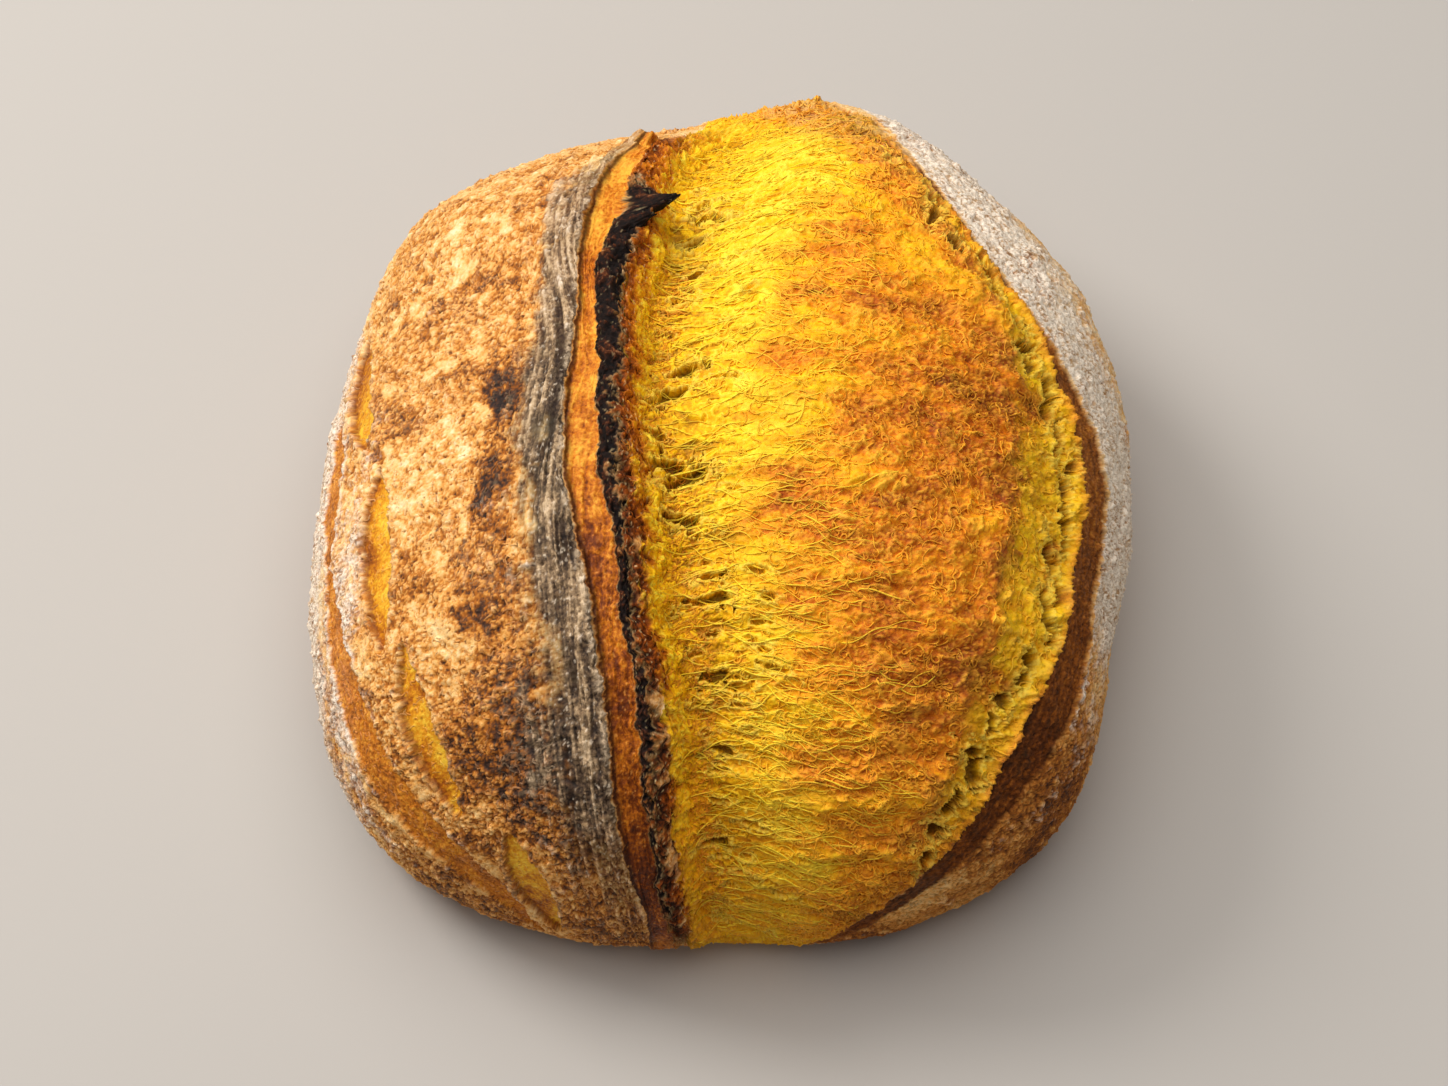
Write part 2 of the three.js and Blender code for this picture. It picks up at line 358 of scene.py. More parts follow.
# -------- small slashes and stretch marks on the west flank
# (back end q, front end q, middle line, widest half width)
LEAVES = [
    (42, -8, [(-101, 42), (-102, 18), (-94, -8)], 5.6),
    (-13, -58, [(-87, -13), (-84, -34), (-77, -58)], 6.0),
    (-55, -96, [(-70, -55), (-67, -74), (-62, -96)], 4.4),
    (-101, -140, [(-52, -101), (-50, -118), (-51, -140)], 5.6),
]
MARKS = [
    (16, -38, [(-111, 16), (-110, -12), (-104, -38)], 5.2),
    (-28, -142, [(-107, -28), (-98, -52), (-86, -74), (-78, -90), (-70, -104), (-62, -120), (-57, -142)],
     6.6),
]
# (p, q, half width, half length, strength): the oven's swellings in mm, then where the crust is blistered,
# pitted, browner or paler (with painted shade low on the right flank), scorched and floured
SWELLINGS = [(38, -22, 62, 62, 5.0), (22, 112, 20, 20, 3.5), (68, 108, 26, 26, -2.5), (-62, 20, 46, 46, 2.0)]
BLISTERED = [(-45, -92, 30, 24, 0.9), (-92, 20, 22, 50, 0.7)]
PITTED = [(-58, -30, 24, 44, 1.0)]
# browner or paler crust; the spot at (92, -96), low on the right flank, is painted shade
BROWNING_AND_SHADE = [
    (-60, -26, 22, 40, -0.11), (-50, 50, 50, 34, -0.06), (-92, 30, 18, 22, 0.06), (-56, -94, 34, 28, 0.15),
    (-70, -100, 40, 34, 0.03), (92, -96, 36, 42, 0.38), (46, -152, 34, 22, 0.32), (-14, -166, 12, 16, 0.3),
]
SCORCHED = [
    (-53, -6, 4.5, 9, 0.75), (-50, -27, 4, 7, 0.6), (-70, -48, 12, 10, 0.26), (-51, -52, 6, 7, 0.36),
    (-84, -3, 6, 7, 0.16), (-54, -80, 15, 9, 0.26), (-40, -86, 8, 10, 0.2), (-60, 34, 9, 5, 0.14),
    (-66, 8, 6, 5, 0.2), (92, -90, 8, 9, 0.12), (66, -106, 12, 8, 0.12),
]
FLOURED = [(-126, -60, 20, 60, 1.2), (-94, -58, 7, 44, 0.7), (-122, 40, 18, 70, 0.75)]
# the same, for the browner places on the burst
TOASTED = [
    (55, -2, 12, 8, 0.2), (46, -14, 7, 5, 0.22), (66, -30, 6, 16, 0.22), (30, 18, 12, 3, 0.14),
    (76, -20, 5, 10, 0.2), (24, 44, 10, 4, 0.12), (34, 84, 26, 12, 0.16), (50, -62, 6, 6, 0.22),
    (61, -82, 6, 7, 0.34), (67, -58, 3, 14, 0.3),
]
# (q, half length, first and last grid mm, lift, push east): where the torn edge curls up or out
TONGUES = [
    (44, 3.4, 9, 14, 2.2, 9.5), (38, 2.0, 10, 13, 1.6, 5.0), (76, 2.6, -2, 5, 2.6, 2.0),
    (70, 1.6, -1, 6, 1.8, 3.0), (63, 2.2, 3, 9, 1.6, 2.0), (-150, 4, 0, 8, 1.5, 0),
]
# colours by level: (level, red, green, blue), 0 to 255
CRUST_RAMP = [
    (0.0, 254, 228, 180), (0.2, 250, 208, 142), (0.38, 242, 184, 106), (0.54, 222, 150, 66),
    (0.68, 182, 106, 34), (0.84, 132, 74, 26), (1.0, 76, 50, 38), (1.3, 44, 35, 32),
]
ASH_RAMP = [
    (0.0, 36, 31, 28), (0.35, 68, 57, 48), (0.6, 112, 92, 70), (0.85, 164, 136, 102),
    (1.15, 216, 188, 150),
]
CRUMB_RAMP = [
    (0.0, 255, 212, 26), (0.2, 255, 194, 10), (0.4, 246, 166, 14), (0.56, 228, 132, 14),
    (0.72, 196, 98, 12), (0.88, 152, 66, 8), (1.05, 100, 42, 8), (1.3, 62, 28, 8),
]
SLASH_RAMP = [(0, 112, 56, 18), (0.3, 176, 96, 20), (0.6, 226, 150, 26), (1, 248, 202, 62)]
MARK_RAMP = [(0, 96, 46, 14), (0.5, 200, 112, 22), (1, 244, 172, 54)]
LEDGE_RAMP = [(0, 56, 20, 6), (0.35, 122, 54, 8), (0.65, 206, 114, 18), (1, 248, 182, 62)]
RIM_RAMP = [(0, 14, 11, 10), (0.5, 36, 22, 16), (0.85, 96, 46, 18), (1.2, 190, 130, 84)]
WALL_RAMP = [(0, 48, 22, 8), (0.3, 146, 68, 10), (0.6, 212, 120, 14), (0.85, 226, 160, 16), (1, 228, 184, 26)]
HOLLOW_RAMP = [(0, 150, 96, 2), (0.3, 224, 156, 4), (0.6, 255, 202, 10), (1, 255, 234, 72)]
BAND_RAMP = [(0, 140, 88, 0), (0.5, 236, 176, 2), (1, 255, 220, 26)]
LIP_RAMP = [(0, 44, 20, 8), (0.4, 100, 48, 10), (0.75, 158, 86, 22), (1, 206, 134, 50)]
# single colours, (red, green, blue)
DUST, CRACK, FLOUR, BARE, BASE = (244, 206, 156), (60, 34, 18), (255, 240, 220), (120, 72, 40), (132, 84, 44)
ASH_EDGE, ASH_GRIT = (216, 190, 156), (236, 216, 190)
PORE_SHADE, SLASH_EDGE_SHADE, SLASH_RIDGE = (120, 66, 14), (104, 54, 20), (244, 206, 150)
EAR_SHADE, LEDGE_GRIT, WALL_GRIT = (50, 24, 12), (230, 160, 80), (255, 220, 160)
HAZE, GOLDEN, SHOULDER, VEIN_HIGHLIGHT = (246, 196, 116), (214, 128, 8), (168, 84, 26), (255, 192, 62)
CURL_HIGHLIGHT, HOLE_SHADE, HOLE_RIM = (252, 174, 46), (112, 76, 8), (252, 220, 84)
LIP_EDGE, CREASE_SHADE, SWEEP = (216, 128, 40), (44, 22, 10), (186, 181, 174)


def linear(red, green, blue):
    """A screen colour, 0 to 255, as linear light."""
    c = np.array([red, green, blue]) / 255.0
    return np.where(c <= 0.04045, c / 12.92, ((c + 0.055) / 1.055) ** 2.4)


def ramp(stops, level):
    """Colours along a scale: stops of (level, red, green, blue)."""
    levels = [stop[0] for stop in stops]
    colours = np.array([linear(*stop[1:]) for stop in stops])
    return np.stack([np.interp(level, levels, colours[:, k]) for k in range(3)], -1)


def domes(distance, radius):
    """Round bubbles on the cells: 1 at a cell's middle, 0 from the radius outward."""
    return np.sqrt(np.clip(1 - (distance / radius) ** 2, 0, 1))


# first q, last q and spacing of the gas holes
WALL_HOLES, BAND_HOLES = (-146.0, 66.0, 4.2), (-108.0, 66.0, 5.2)


def gas_holes():
    """Holes torn in the crumb: (p, q, half length, half width, slope, depth), longest east and west."""
    rng = np.random.default_rng(SEED)
    holes = []
    # beside the torn wall
    for q in np.arange(*WALL_HOLES):
        wall = float(line_at(EAR, q) + 17.5)
        size = rng.uniform(0.15, 1.0) ** 2
        long = 1.2 + 3.8 * size
        holes.append((wall + rng.uniform(0.5, 6.0) + long * 0.6, q + rng.uniform(-2.6, 2.6), long,
                      0.5 + 1.3 * size, rng.uniform(-0.4, 0.4), 0.8 + 2.2 * size))
        if rng.random() < 0.35:
            holes.append((wall + rng.uniform(10, 22), q + rng.uniform(-2, 2), rng.uniform(1.5, 3.5),
                          rng.uniform(0.5, 1.1), rng.uniform(-0.3, 0.3), rng.uniform(0.8, 1.8)))
    # along the band on the far side
    for q in np.arange(*BAND_HOLES):
        edge = float(line_at(BURST_RIGHT, q))
        holes.append((edge - rng.uniform(3.0, 8.5), q + rng.uniform(-2, 2), rng.uniform(1.0, 2.5),
                      rng.uniform(1.4, 4.0), rng.uniform(-0.5, 0.5), rng.uniform(2.2, 4.4)))
    return holes


class Loaf:
    """The skin: its places, masks, relief and paint, all as rows by columns."""

    def __init__(self):
        self.p, self.q = make_grid()
        shape = self.p.shape
        solid = body_point(self.p, self.q).reshape(-1, 3)
        mapped = np.stack([self.p, self.q, np.zeros(shape)], -1).reshape(-1, 3)
        warp = sample_textures(solid, mapped, mapped, WARPS)
        warped = mapped.copy()
        for axis, (name, reach) in enumerate(zip(WARPS, WARP_REACH)):
            warped[:, axis] += reach * warp[name]
        tex = sample_textures(solid, mapped, warped, TEXTURES)
        self.tex = {name: values.reshape(shape) for name, values in tex.items()}
        self.coats = np.zeros((3, *shape, 3))
        self.fold_ear()
        self.find_masks()
        self.open_holes()
        self.raise_relief()
        self.paint()

    def mix(self, **weights):
        """The textures named, each times its weight, added up."""
        return sum(weight * self.tex[name] for name, weight in weights.items())

    # -- form
    def fold_ear(self):
        """Carries each vertex along the ear's section: east on the map to self.place, out by self.up."""
        q, mix = self.q, self.mix
        ear = line_at(EAR, q)
        t = self.t = self.p - ear
        self.ear_on = between(q, -166, -138, 74, 98)
        self.rim_right = line_at(RIM_RIGHT, q) - ear
        shift, up = ear_section(t)
        shift += (line_at(RIM_LEFT, q) - ear - 7 + mix(ragged2=0.8)) * between(t, 1.2, 8, 9.6, 14)
        shift += (self.rim_right - 12 + mix(ragged2=0.7, small=0.7)) * between(t, 9.6, 14, 31, 62)
        shift += mix(ragged=0.35, speck=0.3) * gauss(t, 2.5)
        up *= np.where(up > 0, knots_at(EAR_RISE, q), knots_at(HOLLOW_DEPTH, q))
        for at, long, first, last, lift, push in TONGUES:
            on = gauss(q - at, long) * between(t, first - 2, first + 1, last, last + 4)
            up += lift * on * (1 + mix(ragged=0.8))
            shift += push * on * (1 + mix(ragged=0.4))
        self.place = self.p + shift * self.ear_on
        self.up = up

    def find_masks(self):
        """How far each place belongs to each part, 0 to 1, and its distance in mm from their edges."""
        q, t, place, mix = self.q, self.t, self.place, self.mix
        self.share = np.hypot(self.p, q) / MAP_SPAN
        self.inner = smoothstep(0.985, 0.9, self.share)
        self.r = place - line_at(BURST_RIGHT, q) + mix(small=0.8, ragged2=0.7, speck=0.25)
        left = t - (16.5 * self.ear_on + self.rim_right * (1 - self.ear_on))
        within = np.minimum(left + mix(ragged=1.2), -self.r)
        self.burst = smoothstep(-0.4, 0.5, within) * between(q, -178, -168, 116, 126)
        charred = smoothstep(58, 50, q + mix(speck=3))
        past_ledge = smoothstep(7.8, 8.6, t + mix(small=0.4, speck=0.4))
        self.ledge = smoothstep(0.2, 0.8, t) * (1 - past_ledge) * self.ear_on
        rim_end = knots_at(RIM_END, q) + mix(ragged=1.2)
        past_rim = smoothstep(rim_end, rim_end + 2, t + mix(small=1.8, speck=1.2))
        self.rim = past_ledge * (1 - past_rim) * self.ear_on * charred
        down = t + 6 * smoothstep(10, -70, q) + mix(small=4, patch2=4, speck=1.5)
        self.wall = smoothstep(29, 20, down) * self.ear_on * np.maximum(past_rim, past_ledge * (1 - charred))
        # the hollow under the ear, where the crumb is darkened as painted shade
        self.shaded_hollow = between(t, 24, 28, 34, 54) * self.ear_on
        self.crust = (1 - self.burst) * (1 - between(t, 0.2, 0.8, 14, 18) * self.ear_on)
        self.crease_on = between(q, -122, -88, 48, 68)
        self.band_edge = place - line_at(BAND_LEFT, q)
        self.band = smoothstep(-3, 6, self.band_edge + mix(small=5, vein=2)) * self.burst * self.crease_on
        self.along = place - line_at(TOAST_LINE, q, 8)
        self.torn = smoothstep(-10, 8, self.along + mix(toast=6))
        self.lip_edge = place - line_at(LIP_RIGHT, q) + mix(small=1, speck=0.5)
        self.leaf, self.leaf_edge, self.leaf_side = self.cut(LEAVES, 0.25, 0.12, 0.16)
        self.mark, self.mark_edge, _ = self.cut(MARKS, 0.2, 0.1, 0.14)

    def cut(self, lenses, soft, out, width):
        """Leaf-shaped cuts: their mask, the ridge round them and the side of their middle line, -1 to 1."""
        mask, edge, side = np.zeros((3, *self.q.shape))
        place = self.place + self.mix(small=0.7, speck=0.35)
        for lens in lenses:
            inside, across = inside_lens(place, self.q, *lens)
            mask = np.maximum(mask, smoothstep(0.0, soft, inside))
            edge = np.maximum(edge, gauss(inside + out, width))
            side += across * (inside > 0)
        return mask, edge, side

    def open_holes(self):
        """How deep each place lies in a gas hole, in mm, and how near it is to a hole's rim."""
        self.hole, self.hole_rim = np.zeros((2, *self.q.shape))
        wander = 1 + self.mix(speck=0.4, small=0.36)
        for p0, q0, long, wide, slope, depth in gas_holes():
            near = (np.abs(self.q - q0) < 2 * wide + 3) & (np.abs(self.place - p0) < 2 * long + 3)
            p, q = self.place[near] - p0, self.q[near] - q0
            far = np.hypot(p / long, (q - slope * p) / wide) * wander[near]
            self.hole[near] = np.maximum(self.hole[near], depth * smoothstep(1.0, 0.45, far))
            self.hole_rim[near] = np.maximum(self.hole_rim[near], gauss(far - 1.15, 0.24))
        self.hole *= self.burst
        self.hole_rim *= self.burst * (self.hole < 0.3)

    def crust_relief(self):
        """Blisters, worm-like wrinkles, pits and cracks, in mm; keeps the grain for the paint."""
        tex, mix, p, q, t = self.tex, self.mix, self.p, self.q, self.t
        calm = smoothstep(-0.2, 0.5, tex["patch2"] + blobs(p, q, BLISTERED))
        blister = domes(tex["blister"], 0.46) * calm
        bubbles = domes(tex["blister_big"], 0.3) * smoothstep(0.0, 0.4, tex["patch"] + 0.3 * calm)
        pitted = smoothstep(0.0, 0.45, mix(patch=0.6) + blobs(p, q, PITTED))
        self.pits = smoothstep(0.25, 0.1, tex["pit"]) * pitted
        self.worm = gauss(tex["worm"], 0.17)
        self.scales = smoothstep(0.12, 0.02, tex["scale"])
        net = np.maximum(smoothstep(0.17, 0.02, tex["net"]), 0.6 * smoothstep(0.16, 0.03, tex["net_small"]))
        self.net = net * smoothstep(2, -2, t) * smoothstep(-1.05, -0.15, mix(patch2=1, small=0.3))
        near_ear = between(t, -30, -6, -0.5, 0.5) * self.ear_on
        grain = mix(small=0.22, skein=0.14, fine=0.1) - 0.38 * self.worm - 0.3 * self.net - 0.42 * self.pits
        grain += 0.46 * blister + 0.6 * bubbles + 0.55 * near_ear * tex["striation"]
        self.grain = grain - 0.3 * self.scales * smoothstep(2, 8, self.r)
        self.bubbly = np.maximum(0.6 * blister, bubbles)
        skin = mix(big=0.5, mid=0.35) + self.grain
        skin = skin * (1 - 0.7 * self.leaf) + 0.35 * self.leaf_edge - 1.7 * self.leaf
        skin = skin * (1 - 0.4 * self.mark) + 0.15 * self.mark_edge - 0.7 * self.mark
        # a step down from the crust to the lip bared beside the burst
        step = 0.9 * smoothstep(-0.8, 0.8, self.lip_edge) - 0.9
        return skin + step * gauss(np.maximum(self.lip_edge, 0), 14) * self.crease_on * (self.r > -1)

    def crumb_relief(self):
        """Strands, membranes, curls and holes of the torn crumb, in mm; keeps its lines for the paint."""
        tex, mix, r = self.tex, self.mix, self.r
        torn, strandy = self.torn, 1 - self.torn
        veins = gauss(tex["vein"], 0.09) * smoothstep(-0.7, 0.1, tex["patch2"])
        small_veins, curls = gauss(tex["vein_small"], 0.13), gauss(tex["curl"], 0.2)
        strands, fine_strands = gauss(tex["strand"], 0.16), gauss(tex["strand_fine"], 0.2)
        self.veins = torn * np.maximum(veins, 0.6 * small_veins)
        self.curls = torn * curls
        self.strands = strandy * np.maximum(strands, 0.65 * fine_strands)
        crumb = mix(mid=0.6, wave=0.6, small=0.3, fine=0.1)
        crumb += torn * (0.85 * veins + 0.55 * small_veins + 0.3 * curls + mix(small=0.36, patch2=0.45))
        crumb += strandy * (0.6 * strands + 0.32 * fine_strands + mix(strand=0.3))
        self.crumb_height = crumb.copy()
        crumb += 0.45 * self.hole_rim - self.hole
        crumb -= 1.7 * self.band * smoothstep(0, -8, r)
        crumb += 1.4 * gauss(r + 0.9, 1.2) * self.crease_on * (0.8 + mix(ragged=0.6))
        crumb += 1.5 * gauss(self.band_edge + 2, 4.0) * self.crease_on * (0.6 + tex["mid"])
        return crumb

    def raise_relief(self):
        """Displacement out of the dough, in mm."""
        mix = self.mix
        relief = self.crust * self.crust_relief() + self.burst * self.crumb_relief()
        relief += self.rim * mix(speck=0.7, small=0.4, fine=0.3, worm=0.3)
        relief += self.ledge * mix(small=0.25, striation=0.25, fine=0.12)
        relief += self.wall * mix(speck=0.6, fine=0.4) + blobs(self.place, self.q, SWELLINGS)
        self.out = self.up * self.ear_on + relief * self.inner

    def positions(self):
        points = body_point(self.place, self.q)
        points += body_normal(self.place, self.q) * self.out[..., None]
        points[..., 2] = np.maximum(points[..., 2], 0.0)
        for edge in (points[0], points[-1], points[:, 0], points[:, -1]):
            edge[..., 2] = 0.0
        return points

    # -- paint: three coats (plain, painted shade in the grain's hollows, painted highlight on its tops), mixed by the material's grain
    def lay(self, colour, mask, shaded_hollow=0.5, lit_top=1.3):
        """Lays one colour over what is painted; hollows get a painted shade of it, tops a painted highlight.
        """
        colour = linear(*colour)
        mask = np.clip(mask, 0, 1)[..., None]
        for coat, shade in zip(self.coats, (1.0, shaded_hollow, lit_top)):
            coat *= 1 - mask
            coat += np.minimum(colour * shade, 1.0) * mask

    def lay_ramp(self, stops, level, mask, spread):
        """Lays colours along a scale over what is painted; hollows lie further along it as painted shade,
        tops less far as painted highlight.
        """
        mask = np.clip(mask, 0, 1)[..., None]
        for coat, more in zip(self.coats, (0.0, spread, -spread)):
            coat *= 1 - mask
            coat += ramp(stops, level + more) * mask

    def paint_crust(self):
        mix, p, q, t = self.mix, self.place, self.q, self.t
        # browner or paler places, with painted shade low on the right flank
        level = 0.29 + blobs(p, q, BROWNING_AND_SHADE)
        level += blobs(p + mix(patch2=3, small=1.2), q + mix(patch=4), SCORCHED)
        level += 0.1 * gauss(t + 15, 12) * self.ear_on + 0.04 * smoothstep(-60, -130, q) * (t < 0)
        level += 0.1 * smoothstep(120, 175, np.hypot(p, q))
        level += mix(patch=0.12, patch2=0.07, small=0.07, skein=0.06, grit=-0.08)
        # darker in the sunk wrinkles, net lines and pits and paler on the raised blisters: painted shade and
        # painted highlight
        level += 0.2 * self.worm + 0.38 * self.net + 0.5 * self.pits - 0.24 * self.bubbly
        self.lay_ramp(CRUST_RAMP, level, np.ones_like(p), 0.1)
        self.paint_ash()
        self.paint_flour()
        dusting = smoothstep(0.1, 0.6, mix(skein=0.5, patch=0.4) + 0.7 * self.grain) * (1 - self.leaf)
        self.lay(DUST, 0.1 * dusting * smoothstep(0, -20, t), 0.6, 1.2)
        cracks = self.scales * smoothstep(3, 10, self.r) * self.crust
        self.lay(CRACK, 0.5 * cracks * smoothstep(-20, -80, q))

    def paint_ash(self):
        """The scorched, floury strip along the ear's outer edge."""
        mix, q, t, grit = self.mix, self.q, self.t, self.tex["grit"]
        edge = (t + mix(flow=2.4, patch2=2.4, small=1.4)) / knots_at(ASH_WIDTH, q)
        strip = smoothstep(-1.35, -0.6, edge) * smoothstep(0.6, 0, t) * knots_at(ASH_SHARE, q) * self.ear_on
        tone = 0.5 + mix(striation=0.46, speck=0.1, flow=0.24, patch2=0.26, grit=0.1)
        # darker in the sunk wrinkles and net lines: painted shade
        tone += 0.16 * smoothstep(-20, 50, q) - 0.1 * self.worm - 0.12 * self.net
        self.lay_ramp(ASH_RAMP, tone, strip * self.crust, -0.22)
        self.lay(ASH_EDGE, 0.6 * gauss(t + 0.7, 0.6) * strip * smoothstep(-0.1, 0.6, mix(ragged=1, speck=1)))
        self.lay(ASH_GRIT, 0.6 * strip * self.crust * smoothstep(0.75, 1.0, grit))

    def paint_flour(self):
        """Flour along the far lip and down the west flank, worn off the scales and pits."""
        mix, q, lip = self.mix, self.q, self.lip_edge
        flour = 1.25 * gauss(np.maximum(lip - 6, 0), 30) * between(q, -70, -10, 88, 118)
        flour += 0.5 * gauss(lip - 1.4, 1.4) * smoothstep(-100, -60, q) * (q < 10) * (0.5 + mix(ragged2=0.6))
        flour += 0.6 * gauss(lip - 14, 12) * smoothstep(-110, -50, q) * (q < 20)
        flour *= smoothstep(0.2, 1.6, lip) * (self.r > 0.5)
        west = blobs(self.place, q, FLOURED) + 0.3 * self.mark_edge + 0.1 * self.leaf_edge
        flour += west * (self.t < -20) + mix(patch2=0.16, speck=0.16) + 0.3 * self.grain
        flour = smoothstep(0.18, 0.82, flour)
        bare = np.clip(self.scales * (0.75 + mix(small=0.5)) + 0.5 * self.pits, 0, 1)
        self.lay(FLOUR, 0.92 * flour * (1 - 0.85 * bare), 0.62, 1.06)
        self.lay(BARE, 0.6 * flour * bare, 0.6)

    def paint_slashes(self):
        tex, mix, leaf, side = self.tex, self.mix, self.leaf * self.crust, self.leaf_side
        # lighter towards the cut's east side and darker towards its west: painted light and painted shade
        level = 0.47 + mix(mid=0.22, speck=0.12, patch2=0.16) + 0.22 * side
        level += 0.3 * gauss(tex["vein_small"], 0.2)
        self.lay_ramp(SLASH_RAMP, level, leaf, -0.12)
        # dark pores in the bared crumb: painted shade
        self.lay(PORE_SHADE, 0.8 * smoothstep(0.22, 0.08, tex["pit"]) * smoothstep(0.0, 0.4, tex["mid"]) * leaf)
        # dark lines just inside the cut's edges, strongest on the west: painted shade under the lips
        self.lay(SLASH_EDGE_SHADE, 0.75 * (gauss(side + 0.86, 0.16) + 0.5 * gauss(side - 0.95, 0.1)) * leaf)
        level = 0.6 + mix(patch2=0.2, speck=0.14, grit=0.14) - 0.2 * self.worm
        self.lay_ramp(MARK_RAMP, level, 0.94 * self.mark * self.crust, -0.2)
        self.lay(SLASH_RIDGE, 0.3 * self.leaf_edge * self.crust * smoothstep(-0.4, 0.3, tex["speck"]))

    def paint_ear(self):
        """The ear under its edge: the bared ledge, the black rim and the torn wall."""
        tex, mix, q, t = self.tex, self.mix, self.q, self.t
        tone = 0.76 + mix(mid=0.16, striation=0.14, speck=0.12, grit=0.1) - 0.36 * smoothstep(10, -90, q)
        self.lay_ramp(LEDGE_RAMP, tone, self.ledge, -0.16)
        self.lay(EAR_SHADE, 0.85 * self.ledge * gauss(t - 1.0, 0.9))
        self.lay(LEDGE_GRIT, 0.45 * self.ledge * smoothstep(0.8, 1.05, tex["grit"]) * smoothstep(-10, -60, q))
        tone = 0.3 + mix(speck=0.24, fine=0.2, small=0.16) + 0.12 * smoothstep(0, -90, q)
        self.lay_ramp(RIM_RAMP, tone + 0.16 * smoothstep(0.2, 0.9, tex["patch2"]), self.rim, -0.25)
        down = np.clip((t - 13.0) / 15, 0, 1)
        tone = down + mix(speck=0.14, small=0.14, fine=0.14) + 0.3 * smoothstep(50, 60, q) * (1 - down)
        self.lay_ramp(WALL_RAMP, tone, self.wall, -0.15)
        self.lay(WALL_GRIT, 0.55 * (self.wall + 0.4 * self.rim) * smoothstep(0.85, 1.05, tex["grit"]))

    def paint_burst(self):
        tex, mix, p, q, along, burst = self.tex, self.mix, self.place, self.q, self.along, self.burst
        toast = 0.12 + 0.3 * smoothstep(-18, 22, along + mix(toast=9)) + 0.0022 * np.clip(along, 0, 80)
        toast += mix(toast=0.12, patch2=0.15, small=0.13, speck=0.05) + 0.2 * smoothstep(-40, -140, q)
        # less toasted on the raised crumb and browner in its valleys: painted highlight and painted shade,
        # with real toasting
        toast += self.torn * (0.12 - 0.2 * self.crumb_height - mix(grit=0.05))
        toast += 0.26 * smoothstep(46, 86, q) * smoothstep(-4, 24, p)
        toast += blobs(p + mix(patch2=4), q + mix(small=3), TOASTED)
        self.lay_ramp(CRUMB_RAMP, toast, burst, 0.13)
        haze = smoothstep(56, 92, q + mix(toast=8)) * smoothstep(-6, 20, p)
        self.lay(HAZE, 0.7 * haze * burst * smoothstep(-0.5, 0.4, tex["worm"]))
        # darker in the hollow under the ear and lighter away from the torn wall: painted shade
        level = 0.42 + 0.5 * self.strands + mix(strand=0.2, speck=0.1) - 0.3 * self.shaded_hollow
        yellow = (1 - self.torn) * burst * (1 - 0.6 * smoothstep(-70, -140, q))
        self.lay_ramp(HOLLOW_RAMP, level + 0.18 * smoothstep(34, 60, self.t), 0.88 * yellow, -0.12)
        golden = smoothstep(-50, -130, q + mix(patch2=6)) * burst * (1 - 0.5 * self.strands)
        self.lay(GOLDEN, 0.42 * golden, 0.7, 1.2)
        level = 0.6 + mix(speck=0.2, small=0.16) + 0.4 * self.veins - 0.4 * smoothstep(-50, -110, q)
        in_band = self.band * smoothstep(-0.9, 0, tex["mid"] + 0.5 * smoothstep(-9, -3, self.r))
        self.lay_ramp(BAND_RAMP, level, 0.85 * in_band, -0.16)
        shoulder = gauss(self.band_edge + 3, 4.0) * self.crease_on * burst
        self.lay(SHOULDER, 0.75 * shoulder * smoothstep(-0.5, 0.3, mix(patch2=1, small=1)))
        # paler colour on the raised veins and curls: painted highlight
        ridge_highlight = (0.62 - 0.2 * smoothstep(-40, -120, q)) * burst
        self.lay(VEIN_HIGHLIGHT, ridge_highlight * self.veins, 0.7, 1.1)
        self.lay(CURL_HIGHLIGHT, 0.6 * ridge_highlight * self.curls, 0.7, 1.1)
        # darker the deeper a gas hole goes: painted shade in the holes
        self.lay(HOLE_SHADE, 0.85 * smoothstep(0.5, 2.4, self.hole), 0.7)
        self.lay(HOLE_RIM, 0.7 * self.hole_rim, 0.6, 1.1)

    def paint_lip(self):
        """The crust's torn edge on the burst's far side, the brown strip bared beside it, and painted shade
        in the crease.
        """
        mix, q, r = self.mix, self.q, self.r
        self.lay(LIP_EDGE, 0.8 * gauss(r + 0.8, 1.1) * self.crease_on * (0.7 + mix(ragged=0.6)))
        lip = smoothstep(-0.2, 0.4, r) * smoothstep(0.8, -0.8, self.lip_edge)
        lip *= knots_at(LIP_SHARE, q) * (self.place > 0)
        tone = 0.62 + mix(patch2=0.14, speck=0.12, grit=0.1) + 0.1 * np.sin(2.4 * r + mix(mid=3))
        self.lay_ramp(LIP_RAMP, tone - 0.26 * smoothstep(-20, -90, q), 0.97 * lip * self.crust, -0.2)
        # a dark line at the foot of the crumb's ridge: painted shade in the crease
        self.lay(CREASE_SHADE, 0.85 * gauss(r - 0.9, 0.8) * self.crease_on)

    def paint(self):
        """All the coats, and how rough each place is."""
        self.paint_crust()
        self.paint_slashes()
        self.paint_burst()
        self.paint_ear()
        self.paint_lip()
        self.gloss = 0.7 - 0.22 * self.ledge - 0.14 * self.leaf - 0.2 * self.burst + 0.12 * self.rim


# -------- fibres of crumb, drawn out and curled over
FIBRE_POINTS, FIBRE_SIDES = 11, 5
FIBRE_CORNERS = FIBRE_POINTS * FIBRE_SIDES
FINDER_CELL = 0.6
WELL_INSIDE, WRINKLED_SHARE, WALL_FROM = 0.9, 0.92, 12.5


class Finder:
    """Finds the grid's vertex nearest to a place on the map."""

    def __init__(self, place, q):
        self.size = int(2 * MAP_SPAN / FINDER_CELL) + 3
        self.cells = np.zeros((self.size, self.size), int)
        self.cells[self.cell(q).ravel(), self.cell(place).ravel()] = np.arange(place.size)

    def cell(self, along):
        return np.clip(np.round((along + MAP_SPAN) / FINDER_CELL).astype(int), 0, self.size - 1)

    def at(self, p, q):
        return self.cells[self.cell(q), self.cell(p)]


